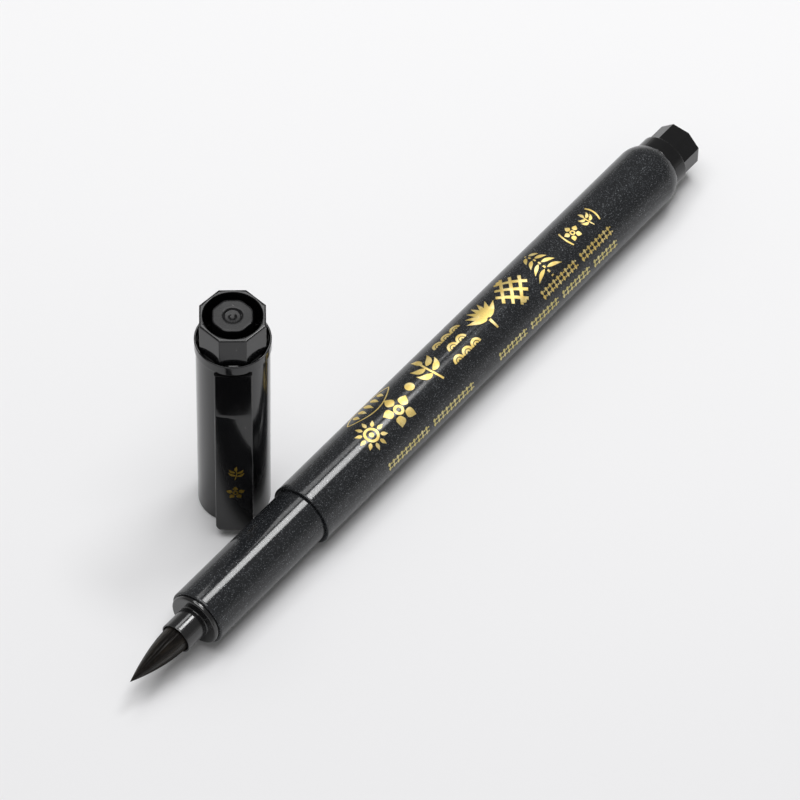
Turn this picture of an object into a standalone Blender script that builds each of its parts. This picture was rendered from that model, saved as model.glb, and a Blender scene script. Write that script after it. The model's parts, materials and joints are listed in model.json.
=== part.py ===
"""Calligraphy marker with a brush tip, lying on its side, with its cap standing beside it.

The pen's axis runs along +X towards the tail, and the cap stands on its mouth at the pen's left (+Y).
Stations along the pen are measured from the barrel's front shoulder, positive towards the tail.
Heights in the cap are measured from its mouth, and in the cap's own frame the clip faces -Y.
"""

import math

import bmesh
import bpy
from mathutils import Matrix, Vector

mm = 0.001

# Fits
seat_gap = 0.05 * mm  # between faces that sit on each other
fit_gap = 0.05 * mm  # round a spigot in its bore
bundle_gap = 0.05 * mm  # round the soft pieces inside
round_steps = 32
fine_steps = 16  # for the thin feed wick
taper_steps = 6  # along the barrel's tail
point_steps = 12  # along the brush's point

# Barrel
barrel_length = 99.6 * mm
barrel_radius = 5.88 * mm
barrel_wall = 0.75 * mm
shoulder_edge = 0.12 * mm
tail_taper_length = 3.0 * mm
tail_taper_drop = 0.92 * mm
tail_neck_wall = 1.06 * mm  # round the tail hole, at the barrel's end
tail_neck_length = 6.8 * mm
tail_neck_slope = 1.4 * mm

# Grip section
shoulder_step = 0.63 * mm
grip_length = 27.6 * mm
grip_spigot_length = 9.0 * mm
grip_spigot_wall = 0.48 * mm
grip_edge = 0.18 * mm

# Nib holder: a flange, the nose tube in front of it and a spigot behind it
flange_inset = 0.45 * mm
flange_thickness = 0.76 * mm
flange_round = 0.45 * mm
nose_length = 4.73 * mm
nose_radius = 2.87 * mm
nose_wall = 0.40 * mm
nose_edge = 0.12 * mm
nose_flare = 0.20 * mm  # the mouth opens by this much round the brush, so that it can bend
nose_flare_depth = 0.30 * mm
holder_spigot_length = 9.5 * mm
holder_web = 2.0 * mm

# Brush
brush_length = 11.61 * mm
brush_taper = 1.75  # exponent of the taper: higher keeps the belly full for longer
brush_play = 0.09 * mm  # round the bundle where it swings in the nose
collar_length = 7.4 * mm
collar_wall = 0.40 * mm
heel_thickness = 1.4 * mm

# Ink feed and reservoir
wick_radius = 1.0 * mm
wick_into_bundle = 4.0 * mm
wick_into_reservoir = 5.0 * mm
reservoir_front_room = 2.2 * mm
reservoir_tail_room = 1.5 * mm
reservoir_side_gap = 0.10 * mm
film_thickness = 0.15 * mm
film_overhang = 1.0 * mm

# Tail plug
plug_collar_length = 2.72 * mm
plug_collar_inset = 0.11 * mm  # in from the barrel's end
plug_spigot_length = 6.0 * mm
plug_spigot_wall = 1.25 * mm
plug_octagon_length = 4.67 * mm
plug_octagon_inset = 0.43 * mm
plug_end_wall = 1.6 * mm
octagon_edge = 0.14 * mm

# Cap shell, crown and liner
cap_play = 0.10 * mm  # round the grip section
cap_wall = 0.85 * mm
mouth_edge = 0.18 * mm
bead_step = 0.24 * mm
bead_height = 2.25 * mm
bead_round = 0.45 * mm
crown_height = 5.74 * mm
crown_inset = 0.24 * mm
crown_wall = 0.52 * mm
crown_spigot_length = 4.7 * mm
crown_seat_wall = 0.45 * mm
liner_play = 0.13 * mm  # round the nose tube
liner_mouth_gap = 0.20 * mm
liner_wall = 0.70 * mm
liner_brush_room = 0.31 * mm
liner_tip_room = 1.37 * mm
liner_top = 1.60 * mm
liner_rim_height = 1.2 * mm
liner_rim_width = 0.65 * mm
liner_spoke_width = 1.2 * mm
dish_radius = 1.7 * mm
dish_depth = 0.45 * mm
gate_radius = 0.6 * mm
gate_depth = 0.45 * mm

# Pocket clip
clip_width = 6.3 * mm
clip_thickness = 1.2 * mm
clip_crease_drop = 8.4 * mm
clip_crease_reach = 2.1 * mm  # outward from the cap's surface
clip_end_reach = 3.3 * mm
clip_end_height = 1.9 * mm
clip_corner = 1.1 * mm
clip_edge = 0.2 * mm
clip_root_length = 5.2 * mm
clip_root_proud = 0.24 * mm
clip_foot_length = 3.2 * mm
clip_foot_rise = 1.12 * mm  # from the clip's end up to the foot's flat
clip_foot_flat = 0.8 * mm
clip_foot_gap = 0.45 * mm

# Where the cap stands
cap_along = 0.05 * mm  # along the pen from the shoulder
cap_turn = math.radians(-50.45)
clip_to_grip = 0.88 * mm

# Worked out: the pen
pen_bore = barrel_radius - barrel_wall
grip_radius = barrel_radius - shoulder_step
grip_spigot_radius = pen_bore - fit_gap
grip_bore = grip_spigot_radius - grip_spigot_wall
flange_back = -(grip_length + seat_gap)
flange_front = flange_back - flange_thickness
nose_end = flange_front - nose_length
brush_end = nose_end - brush_length
nose_bore = nose_radius - nose_wall
holder_back = flange_back + holder_spigot_length
heel_stop = holder_back - holder_web
wick_hole = wick_radius + bundle_gap
brush_radius = nose_bore - brush_play
collar_radius = nose_bore - fit_gap
collar_bore = collar_radius - collar_wall
collar_back = heel_stop - seat_gap
collar_front = collar_back - collar_length
heel_front = collar_back - heel_thickness
root_front = nose_end + brush_radius + bundle_gap * 2
reservoir_front = holder_back + reservoir_front_room
tail_radius = barrel_radius - tail_taper_drop
tail_hole_radius = tail_radius - tail_neck_wall
neck_start = barrel_length - tail_neck_length
reservoir_back = neck_start - tail_neck_slope - reservoir_tail_room
film_radius = grip_bore - reservoir_side_gap
reservoir_radius = film_radius - film_thickness - bundle_gap
plug_face = barrel_length + seat_gap
plug_collar_radius = tail_radius - plug_collar_inset
plug_octagon_radius = plug_collar_radius - plug_octagon_inset
plug_spigot_radius = tail_hole_radius - fit_gap
plug_bore_radius = plug_spigot_radius - plug_spigot_wall
plug_collar_end = plug_face + plug_collar_length
pen_end = plug_collar_end + plug_octagon_length

# Worked out: the cap, which closes over the whole front of the pen
cap_bore = grip_radius + cap_play
cap_radius = cap_bore + cap_wall
cap_height = -brush_end + liner_tip_room + liner_top
crown_base = cap_height - crown_height
shell_top = crown_base - seat_gap
bead_bottom = shell_top - bead_height
bead_radius = cap_radius + bead_step
crown_radius = cap_radius - crown_inset
crown_half_width = crown_radius * math.cos(math.pi / 8)
crown_hole = crown_half_width - crown_wall
crown_seat = cap_radius - crown_seat_wall
crown_spigot_end = crown_base - crown_spigot_length
liner_rim_bottom = crown_spigot_end - seat_gap - liner_rim_height
liner_step = liner_rim_bottom - seat_gap
liner_mouth = -flange_front + liner_mouth_gap
liner_mouth_bore = nose_radius + liner_play
liner_bore = brush_radius + liner_brush_room
liner_half_width = liner_bore + liner_wall
liner_bore_step = -nose_end + liner_mouth_gap
clip_root_top = bead_bottom - seat_gap * 2
clip_crease = Vector((cap_radius + clip_crease_reach, clip_root_top - clip_crease_drop))
clip_end = Vector((cap_radius + clip_end_reach, clip_end_height))

# The clip's near corner sets how far the cap stands from the pen
clip_out_y = abs(math.cos(cap_turn))
clip_side_y = abs(math.sin(cap_turn))
cap_aside = grip_radius + clip_to_grip + clip_end.x * clip_out_y + clip_width / 2 * clip_side_y

# The origin is under the middle of the whole arrangement
origin_along = (pen_end + brush_end) / 2
origin_aside = (cap_aside + bead_radius - barrel_radius) / 2


def clear_scene():
    for obj in list(bpy.data.objects):
        bpy.data.objects.remove(obj, do_unlink=True)


def new_collection(name):
    collection = bpy.data.collections.new(name)
    bpy.context.scene.collection.children.link(collection)
    return collection


def new_material(name, color, roughness):
    material = bpy.data.materials.new(name)
    material.use_nodes = True
    shader = material.node_tree.nodes["Principled BSDF"]
    shader.inputs["Base Color"].default_value = (*color, 1)
    shader.inputs["Roughness"].default_value = roughness
    shader.inputs["Metallic"].default_value = 0
    material.diffuse_color = (*color, 1)
    return material


clear_scene()
pieces = new_collection("calligraphy_marker")
cutters = new_collection("cutters")

lacquer = new_material("speckled_lacquer", (0.045, 0.048, 0.052), 0.3)
gloss_black = new_material("gloss_black_plastic", (0.012, 0.012, 0.013), 0.12)
hair_black = new_material("inked_bristle", (0.012, 0.010, 0.009), 0.55)
white_plastic = new_material("white_plastic", (0.78, 0.78, 0.75), 0.4)
inked_fibre = new_material("inked_fibre", (0.03, 0.03, 0.035), 0.9)
clear_film = new_material("wrapping_film", (0.75, 0.77, 0.8), 0.25)


def new_empty(name, location, rotation=(0, 0, 0), parent=None):
    empty = bpy.data.objects.new(name, None)
    empty.empty_display_size = 4 * mm
    pieces.objects.link(empty)
    empty.parent = parent
    empty.location = location
    empty.rotation_euler = rotation
    return empty


def place(name, mesh, parent, material=None):
    """A mesh as a visible piece, or as a hidden cutter when it has no material."""
    obj = bpy.data.objects.new(name, mesh)
    obj.parent = parent
    if material:
        mesh.materials.append(material)
        pieces.objects.link(obj)
    else:
        obj.hide_render = True
        obj.display_type = "WIRE"
        cutters.objects.link(obj)
    return obj


def turned(name, profile, parent, material=None, steps=round_steps):
    """A profile of (radius, height) points turned about Z.

    It runs down the outer side. A bore's points follow, back up to the start.
    """
    last = len(profile) - 1
    edges = [(i, i + 1) for i in range(last)]
    if profile[0][0] > 0:
        edges.append((last, 0))
    mesh = bpy.data.meshes.new(name)
    mesh.from_pydata([(radius, 0, height) for radius, height in profile], edges, [])
    obj = place(name, mesh, parent, material)
    screw = obj.modifiers.new("Turn", "SCREW")
    screw.steps = steps
    screw.render_steps = steps
    screw.use_merge_vertices = True
    screw.merge_threshold = 0.002 * mm
    screw.use_smooth_shade = True
    return obj


def rod(name, radius, bottom, top, parent, material=None, steps=round_steps):
    return turned(name, [(0, top), (radius, top), (radius, bottom), (0, bottom)], parent, material, steps)


def tube(name, radius, bore, bottom, top, parent, material=None, steps=round_steps):
    outline = [(radius, top), (radius, bottom), (bore, bottom), (bore, top)]
    return turned(name, outline, parent, material, steps)


def octagon(name, radius, bottom, top, parent, material=None):
    """An eight-sided prism with eased edges, its flats facing along X and Y."""
    mesh = bpy.data.meshes.new(name)
    model = bmesh.new()
    bmesh.ops.create_cone(
        model,
        cap_ends=True,
        segments=8,
        radius1=radius,
        radius2=radius,
        depth=top - bottom,
        matrix=Matrix.Translation((0, 0, (top + bottom) / 2)) @ Matrix.Rotation(math.pi / 8, 4, "Z"),
    )
    model.to_mesh(mesh)
    model.free()
    obj = place(name, mesh, parent, material)
    bevel = obj.modifiers.new("Eased edges", "BEVEL")
    bevel.width = octagon_edge
    bevel.segments = 1
    bevel.limit_method = "ANGLE"
    return obj


def block(name, size, centre, parent, material=None):
    mesh = bpy.data.meshes.new(name)
    model = bmesh.new()
    bmesh.ops.create_cube(model, size=1, matrix=Matrix.Translation(centre) @ Matrix.Diagonal((*size, 1)))
    model.to_mesh(mesh)
    model.free()
    return place(name, mesh, parent, material)


def plate(name, outline, thickness, matrix, parent, material=None):
    """A flat outline, filled and given a thickness, as a welded mesh."""
    curve = bpy.data.curves.new(name, "CURVE")
    curve.dimensions = "2D"
    curve.fill_mode = "BOTH"
    curve.extrude = thickness / 2
    spline = curve.splines.new("POLY")
    spline.points.add(len(outline) - 1)
    for point, (x, y) in zip(spline.points, outline):
        point.co = (x, y, 0, 1)
    spline.use_cyclic_u = True
    guide = bpy.data.objects.new(name + "_guide", curve)
    bpy.context.scene.collection.objects.link(guide)
    bpy.context.view_layer.update()
    evaluated = guide.evaluated_get(bpy.context.evaluated_depsgraph_get())
    mesh = bpy.data.meshes.new_from_object(evaluated)
    bpy.data.objects.remove(guide, do_unlink=True)
    mesh.name = name
    model = bmesh.new()
    model.from_mesh(mesh)
    bmesh.ops.remove_doubles(model, verts=model.verts, dist=0.001 * mm)
    model.transform(matrix)
    bmesh.ops.recalc_face_normals(model, faces=model.faces)
    model.to_mesh(mesh)
    model.free()
    return place(name, mesh, parent, material)


def combine(obj, operation, other):
    boolean = obj.modifiers.new(operation.title(), "BOOLEAN")
    boolean.operation = operation
    boolean.solver = "EXACT"
    boolean.object = other


def arc(centre, radius, start, stop, count):
    """Points on an arc, from the start angle to the stop angle in degrees."""
    turns = [math.radians(start + (stop - start) * i / (count - 1)) for i in range(count)]
    return [(centre[0] + radius * math.cos(t), centre[1] + radius * math.sin(t)) for t in turns]


arrangement = new_empty("arrangement", (-origin_along, -origin_aside, 0))
pen_axis = new_empty("pen_axis", (0, 0, barrel_radius), (0, math.pi / 2, 0), arrangement)
brush_hinge = new_empty("brush_hinge", (0, 0, nose_end), parent=pen_axis)
cap_axis = new_empty("cap_axis", (cap_along, cap_aside, 0), (0, 0, cap_turn), arrangement)
clip_hinge = new_empty("clip_hinge", (0, -cap_radius, clip_root_top), parent=cap_axis)


def make_barrel():
    """A tube with a bluff taper at the tail, and a narrow neck there that holds the tail plug."""
    taper_start = barrel_length - tail_taper_length
    taper = []
    for i in range(taper_steps, -1, -1):
        share = i / taper_steps
        taper.append((barrel_radius - tail_taper_drop * share**2, taper_start + tail_taper_length * share))
    outline = taper + [
        (barrel_radius, shoulder_edge),
        (barrel_radius - shoulder_edge, 0),
        (pen_bore, 0),
        (pen_bore, neck_start - tail_neck_slope),
        (tail_hole_radius, neck_start),
        (tail_hole_radius, barrel_length),
    ]
    turned("barrel", outline, pen_axis, lacquer)


def make_grip_section():
    outline = [
        (grip_spigot_radius - grip_edge, grip_spigot_length),
        (grip_spigot_radius, grip_spigot_length - grip_edge),
        (grip_spigot_radius, -seat_gap),
        (grip_radius, -seat_gap),
        (grip_radius, -grip_length + grip_edge),
        (grip_radius - grip_edge, -grip_length),
        (grip_bore, -grip_length),
        (grip_bore, grip_spigot_length),
    ]
    turned("grip_section", outline, pen_axis, lacquer)


def make_nib_holder():
    flange_radius = grip_radius - flange_inset
    spigot_radius = grip_bore - fit_gap
    round_centre = (flange_radius - flange_round, flange_front + flange_round)
    outline = [
        (spigot_radius - grip_edge, holder_back),
        (spigot_radius, holder_back - grip_edge),
        (spigot_radius, flange_back),
        (flange_radius, flange_back),
        *arc(round_centre, flange_round, 0, -90, 4),
        (nose_radius, flange_front),
        (nose_radius, nose_end + nose_edge),
        (nose_radius - nose_edge, nose_end),
        (nose_bore + nose_flare, nose_end),
        (nose_bore, nose_end + nose_flare_depth),
        (nose_bore, heel_stop),
        (wick_hole, heel_stop),
        (wick_hole, holder_back),
    ]
    turned("nib_holder", outline, pen_axis, gloss_black)


def make_bristles():
    """The bundle: a plastic collar, its fused heel, the root that stays still, and the tip that bends."""
    tube("brush_collar", collar_radius, collar_bore, collar_front, collar_back, pen_axis, white_plastic)
    heel_radius = collar_bore - bundle_gap
    tube("bristle_heel", heel_radius, wick_hole, heel_front, collar_back, pen_axis, hair_black)

    root_back = heel_front - seat_gap
    neck_front = collar_front - seat_gap
    wick_end = heel_front - wick_into_bundle
    root = [
        (0, wick_end),
        (wick_hole, wick_end),
        (wick_hole, root_back),
        (heel_radius, root_back),
        (heel_radius, neck_front),
        (brush_radius, neck_front),
        (brush_radius, root_front),
        (0, root_front),
    ]
    turned("bristle_root", root, pen_axis, hair_black)

    # The tip's back is a ball about the hinge, so that it can swing in the nose
    ball = arc((0, 0), brush_radius, 90, 0, 7)
    point = []
    for i in range(1, point_steps):
        share = i / point_steps
        point.append((brush_radius * (1 - share**brush_taper), -brush_length * share))
    outline = [(0, brush_radius), *ball[1:], *point, (0, -brush_length)]
    turned("bristle_tip", outline, brush_hinge, hair_black)


def make_ink_feed():
    wick_front = heel_front - wick_into_bundle + bundle_gap
    wick_back = reservoir_front + wick_into_reservoir - bundle_gap
    rod("feed_wick", wick_radius, wick_front, wick_back, pen_axis, inked_fibre, fine_steps)

    socket_end = reservoir_front + wick_into_reservoir
    socket_radius = wick_hole + bundle_gap
    core = [
        (0, reservoir_back),
        (reservoir_radius, reservoir_back),
        (reservoir_radius, reservoir_front),
        (socket_radius, reservoir_front),
        (socket_radius, socket_end),
        (0, socket_end),
    ]
    turned("ink_reservoir", core, pen_axis, inked_fibre)
    film_bore = film_radius - film_thickness
    film_front = reservoir_front - film_overhang
    film_back = reservoir_back + film_overhang
    tube("reservoir_film", film_radius, film_bore, film_front, film_back, pen_axis, clear_film)


def make_tail_plug():
    """Collar and spigot with an octagonal grip, cored out from the inner end."""
    spigot_end = plug_face - plug_spigot_length
    outline = [
        (0, plug_collar_end),
        (plug_collar_radius - octagon_edge, plug_collar_end),
        (plug_collar_radius, plug_collar_end - octagon_edge),
        (plug_collar_radius, plug_face),
        (plug_spigot_radius, plug_face),
        (plug_spigot_radius, spigot_end + octagon_edge),
        (plug_spigot_radius - octagon_edge, spigot_end),
        (0, spigot_end),
    ]
    plug = turned("tail_plug", outline, pen_axis, gloss_black)
    grip_start = plug_collar_end - plug_collar_length / 2
    combine(plug, "UNION", octagon("tail_plug_grip", plug_octagon_radius, grip_start, pen_end, pen_axis))
    core_end = pen_end - plug_end_wall
    core_start = spigot_end - plug_spigot_length / 2
    combine(plug, "DIFFERENCE", rod("tail_plug_core", plug_bore_radius, core_start, core_end, pen_axis))


def make_cap_shell():
    bead_centre = (bead_radius - bead_round, shell_top - bead_round)
    outline = [
        (crown_seat, shell_top),
        *arc(bead_centre, bead_round, 90, 0, 5),
        (bead_radius, bead_bottom + bead_step),
        (cap_radius, bead_bottom),
        (cap_radius, mouth_edge),
        (cap_radius - mouth_edge, 0),
        (cap_bore + mouth_edge, 0),
        (cap_bore, mouth_edge),
        (cap_bore, liner_step),
        (crown_seat, liner_step),
    ]
    turned("cap_shell", outline, cap_axis, gloss_black)


def make_cap_crown():
    """An octagonal ring whose spigot presses into the shell and clamps the liner."""
    crown = octagon("cap_crown", crown_radius, crown_base, cap_height, cap_axis, gloss_black)
    core_radius = crown_half_width - crown_wall / 2
    core_top = crown_base + crown_height / 2
    spigot_radius = crown_seat - fit_gap
    spigot = [
        (0, core_top),
        (core_radius, core_top),
        (core_radius, crown_base),
        (spigot_radius, crown_base),
        (spigot_radius, crown_spigot_end),
        (0, crown_spigot_end),
    ]
    combine(crown, "UNION", turned("crown_spigot", spigot, cap_axis))
    margin = crown_height / 2
    hole = rod("crown_hole", crown_hole, crown_spigot_end - margin, cap_height + margin, cap_axis)
    combine(crown, "DIFFERENCE", hole)


def make_inner_cap():
    """The liner that seals over the nose and brush: a tube with an octagonal closed top, held by four spokes."""
    stem_radius = liner_half_width / math.cos(math.pi / 8)
    stem_bottom = liner_bore_step
    liner = octagon("inner_cap", stem_radius, stem_bottom, cap_height, cap_axis, gloss_black)
    skirt_top = stem_bottom + liner_wall * 3
    skirt = rod("liner_skirt", liner_mouth_bore + liner_wall, liner_mouth, skirt_top, cap_axis)
    combine(liner, "UNION", skirt)

    rim_radius = crown_seat - fit_gap
    rim_bore = rim_radius - liner_rim_width
    rim_top = liner_rim_bottom + liner_rim_height
    spoke_length = rim_bore + rim_radius
    spoke_centre = (0, 0, liner_rim_bottom + liner_rim_height / 2)
    for turn, side in enumerate(((spoke_length, liner_spoke_width), (liner_spoke_width, spoke_length))):
        spoke = block(f"liner_spokes_{turn + 1}", (*side, liner_rim_height), spoke_centre, cap_axis)
        combine(liner, "UNION", spoke)
    combine(liner, "UNION", tube("liner_rim", rim_radius, rim_bore, liner_rim_bottom, rim_top, cap_axis))

    bore = [
        (0, cap_height - liner_top),
        (liner_bore, cap_height - liner_top),
        (liner_bore, liner_bore_step + liner_wall),
        (liner_mouth_bore, liner_bore_step),
        (liner_mouth_bore, liner_mouth - liner_wall),
        (0, liner_mouth - liner_wall),
    ]
    combine(liner, "DIFFERENCE", turned("liner_bore", bore, cap_axis))
    dish = [
        (0, cap_height + dish_depth),
        (dish_radius, cap_height + dish_depth),
        (dish_radius, cap_height - dish_depth),
        (gate_radius, cap_height - dish_depth),
        (gate_radius, cap_height - dish_depth - gate_depth),
        (0, cap_height - dish_depth - gate_depth),
    ]
    combine(liner, "DIFFERENCE", turned("liner_dish", dish, cap_axis))


def make_pocket_clip():
    """A creased strip: flush with the bead at its root, standing off the cap, with a foot that grips cloth."""
    root_reach = cap_radius + clip_root_proud
    inner_crease = clip_crease - Vector((clip_thickness, clip_thickness / 2))
    inner_end = clip_end.x - clip_thickness
    foot_reach = cap_radius + clip_foot_gap
    foot_start = clip_end_height + clip_foot_rise
    foot_top = clip_end_height + clip_foot_length
    inside = cap_radius - clip_thickness
    side = [
        (root_reach, clip_root_top),
        tuple(clip_crease),
        tuple(clip_end),
        (inner_end, clip_end_height),
        (foot_reach, foot_start),
        (foot_reach, foot_start + clip_foot_flat),
        (inner_end, foot_top),
        tuple(inner_crease),
        (foot_reach, clip_root_top - clip_root_length),
        (inside, clip_root_top - clip_root_length),
        (inside, clip_root_top),
    ]
    # An outline's x is the reach from the cap's axis along -Y, and its y is the height
    upright = Matrix(((0, 0, -1, 0), (-1, 0, 0, 0), (0, 1, 0, 0), (0, 0, 0, 1)))
    to_hinge = Matrix.Translation((0, cap_radius, -clip_root_top))
    clip = plate("pocket_clip", side, clip_width, to_hinge @ upright, clip_hinge, gloss_black)
    clip_bevel = clip.modifiers.new("Eased edges", "BEVEL")
    clip_bevel.width = clip_edge
    clip_bevel.segments = 2
    clip_bevel.limit_method = "ANGLE"
    clip_bevel.angle_limit = math.radians(40)

    half = clip_width / 2 + clip_edge
    left = (-clip_width / 2 + clip_corner, clip_end_height + clip_corner)
    right = (clip_width / 2 - clip_corner, clip_end_height + clip_corner)
    above = clip_root_top + clip_corner
    front = [
        (-half, above),
        (-half, left[1] + clip_corner),
        *arc(left, clip_corner, 180, 270, 6),
        *arc(right, clip_corner, 270, 360, 6),
        (half, right[1] + clip_corner),
        (half, above),
    ]
    facing = Matrix(((1, 0, 0, 0), (0, 0, 1, 0), (0, 1, 0, 0), (0, 0, 0, 1)))
    depth = clip_end.x * 3
    combine(clip, "INTERSECT", plate("clip_front", front, depth, facing, cap_axis))
    around_cap = rod("clip_back", cap_radius + seat_gap, -clip_corner, cap_height, cap_axis)
    combine(clip, "DIFFERENCE", around_cap)


make_barrel()
make_grip_section()
make_nib_holder()
make_bristles()
make_ink_feed()
make_tail_plug()
make_cap_shell()
make_cap_crown()
make_inner_cap()
make_pocket_clip()
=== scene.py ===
import json
import math
import random

import bmesh
import bpy
from mathutils import Matrix, Vector


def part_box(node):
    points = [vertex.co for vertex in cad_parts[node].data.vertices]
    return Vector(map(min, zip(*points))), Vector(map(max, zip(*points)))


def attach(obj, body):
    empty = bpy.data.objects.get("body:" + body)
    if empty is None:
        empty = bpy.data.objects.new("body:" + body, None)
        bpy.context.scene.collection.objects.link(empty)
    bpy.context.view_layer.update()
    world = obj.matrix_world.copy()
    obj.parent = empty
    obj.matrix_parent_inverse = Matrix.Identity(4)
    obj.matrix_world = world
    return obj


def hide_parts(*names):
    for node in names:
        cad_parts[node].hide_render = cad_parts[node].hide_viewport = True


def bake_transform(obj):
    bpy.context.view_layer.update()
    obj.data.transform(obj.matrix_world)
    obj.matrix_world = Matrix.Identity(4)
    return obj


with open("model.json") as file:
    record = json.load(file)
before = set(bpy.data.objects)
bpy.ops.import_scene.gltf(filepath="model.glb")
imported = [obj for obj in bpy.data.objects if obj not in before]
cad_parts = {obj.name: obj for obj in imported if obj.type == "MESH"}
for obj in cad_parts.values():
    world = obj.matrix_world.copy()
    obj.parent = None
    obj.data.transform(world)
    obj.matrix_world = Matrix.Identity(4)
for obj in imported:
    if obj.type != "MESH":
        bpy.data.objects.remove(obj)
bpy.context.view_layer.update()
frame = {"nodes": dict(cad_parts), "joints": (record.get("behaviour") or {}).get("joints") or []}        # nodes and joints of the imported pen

mm = 0.001
print("frame loaded:", len(frame["nodes"]), "nodes")


# Where the pen and the cap are

barrelLow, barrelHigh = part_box("barrel")
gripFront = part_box("grip_section")[0].x
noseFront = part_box("nib_holder")[0].x
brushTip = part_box("bristle_tip")[0].x
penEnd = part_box("tail_plug")[1].x
shoulderX = barrelLow.x
barrelRadius = (barrelHigh.y - barrelLow.y) / 2
penCentre = (barrelLow + barrelHigh) / 2

capLow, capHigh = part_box("cap_shell")
capCentre = (capLow + capHigh) / 2
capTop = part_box("cap_crown")[1].z
clipJoint = next(joint for joint in frame["joints"] if joint["name"] == "clip_flex")
clipOut = Vector(clipJoint["pos_m"]) - capCentre
clipOut.z = 0
clipOut.normalize()
clipSide = Vector((0, 0, 1)).cross(clipOut)


def frameOf(x, y, z, place):
    matrix = Matrix((x, y, z)).transposed().to_4x4()
    matrix.translation = place
    return matrix


def heading(degrees):
    turn = math.radians(degrees)
    return Vector((math.cos(turn), math.sin(turn)))


# Pen: local z runs to the tail from the shoulder, local x is up, local y is to the pen's right
penFrame = frameOf((0, 0, 1), (0, -1, 0), (1, 0, 0), (shoulderX, penCentre.y, penCentre.z))
# Cap: local z is up from the table, local x points out through the clip
capFrame = frameOf(clipOut, clipSide, (0, 0, 1), (capCentre.x, capCentre.y, 0))


# Camera, first, so that a test render is always framed

cameraSetup = {
    "aim": (2.62 * mm, -2.25 * mm, 0),  # on the table, from the frame's origin
    "distance": 1034.8 * mm,
    "heading": 37.25,  # degrees round from +X
    "pitch": 51.36,  # degrees down
    "roll": 1.36,
    "lens": 270,
    "sensor": 36,
}


def makeCamera(setup):
    level = Vector((*heading(setup["heading"]), 0))
    across, down = heading(setup["pitch"])
    forward = level * across - Vector((0, 0, down))
    right = level.cross((0, 0, 1))
    up = right.cross(forward)
    keep, lean = heading(setup["roll"])
    right, up = right * keep + up * lean, up * keep - right * lean
    camera = bpy.data.cameras.new("studioCamera")
    camera.lens = setup["lens"]
    camera.sensor_width = setup["sensor"]
    camera.clip_start = 10 * mm
    camera.clip_end = 20
    cameraObject = bpy.data.objects.new("studioCamera", camera)
    bpy.context.scene.collection.objects.link(cameraObject)
    place = Vector(setup["aim"]) - forward * setup["distance"]
    cameraObject.matrix_world = frameOf(right, up, -forward, place)
    bpy.context.scene.camera = cameraObject


makeCamera(cameraSetup)
bpy.context.scene.view_settings.view_transform = "Standard"
print("camera placed")


# Shader helpers

def feed(tree, node, values):
    # Numbers, colours and vectors are set on the socket itself, and outputs are linked to it
    for name, value in values.items():
        socket = node.inputs[name]
        if isinstance(value, (int, float)):
            socket.default_value = value
        elif isinstance(value, tuple):
            socket.default_value = (*value, 1)[:len(socket.default_value)]
        else:
            tree.links.new(value, socket)


def addNode(tree, kind, values=None, **settings):
    node = tree.nodes.new(kind)
    for name, setting in settings.items():
        setattr(node, name, setting)
    feed(tree, node, values or {})
    return node


def mathNode(tree, operation, first, second=0.0):
    return addNode(tree, "ShaderNodeMath", {0: first, 1: second}, operation=operation).outputs[0]


def product(tree, first, second):
    return mathNode(tree, "MULTIPLY", first, second)


def rangeNode(tree, value, low, high, outLow=0.0, outHigh=1.0):
    values = {"Value": value, "From Min": low, "From Max": high, "To Min": outLow, "To Max": outHigh}
    return addNode(tree, "ShaderNodeMapRange", values, interpolation_type="SMOOTHSTEP").outputs["Result"]


def mixColor(tree, factor, first, second):
    return addNode(tree, "ShaderNodeMix", {0: factor, 6: first, 7: second}, data_type="RGBA").outputs[2]


def objectPosition(tree, stretch=(1, 1, 1)):
    position = addNode(tree, "ShaderNodeTexCoord").outputs["Object"]
    return addNode(tree, "ShaderNodeMapping", {"Vector": position, "Scale": stretch}).outputs["Vector"]


def noiseNode(tree, position, scale, detail=3.0, roughness=0.5):
    values = {"Vector": position, "Scale": scale, "Detail": detail, "Roughness": roughness}
    return addNode(tree, "ShaderNodeTexNoise", values).outputs["Fac"]


def bumpNode(tree, height, relief, strength):
    # The relief is in millimetres
    values = {"Height": height, "Distance": relief * mm, "Strength": strength}
    return addNode(tree, "ShaderNodeBump", values).outputs["Normal"]


def newGroup(name, inputs, outputs):
    group = bpy.data.node_groups.new(name, "ShaderNodeTree")
    for label, value in inputs.items():
        socket = group.interface.new_socket(label, in_out="INPUT", socket_type="NodeSocketFloat")
        socket.default_value = value
    for label in outputs:
        group.interface.new_socket(label, in_out="OUTPUT", socket_type="NodeSocketFloat")
    return group, addNode(group, "NodeGroupInput").outputs, addNode(group, "NodeGroupOutput")


def placeGroup(tree, group, values):
    return addNode(tree, "ShaderNodeGroup", values, node_tree=group).outputs


# Shared effects

def chosenCells(group, scale, density):
    # Random cells: the distance to each one's middle, which of them are taken, and a tone for each
    values = {"Vector": objectPosition(group), "Scale": scale}
    cells = addNode(group, "ShaderNodeTexVoronoi", values, feature="F1")
    parts = addNode(group, "ShaderNodeSeparateColor", {0: cells.outputs["Color"]})
    chosen = mathNode(group, "LESS_THAN", parts.outputs[0], density)
    return cells.outputs["Distance"], chosen, parts.outputs[1]


def makeFleckGroup():
    # Flakes of one size in a lacquer: only some cells hold a flake, and each has its own brightness
    inputs = {"Scale": 2500.0, "Density": 0.4, "Size": 0.45}
    group, given, result = newGroup("metalFlecks", inputs, ("Mask", "Tone"))
    distance, chosen, tone = chosenCells(group, given["Scale"], given["Density"])
    core = product(group, given["Size"], 0.45)  # full brightness out to here
    spot = rangeNode(group, distance, core, given["Size"], 1.0, 0.0)
    feed(group, result, {"Mask": product(group, chosen, spot), "Tone": tone})
    return group


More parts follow.
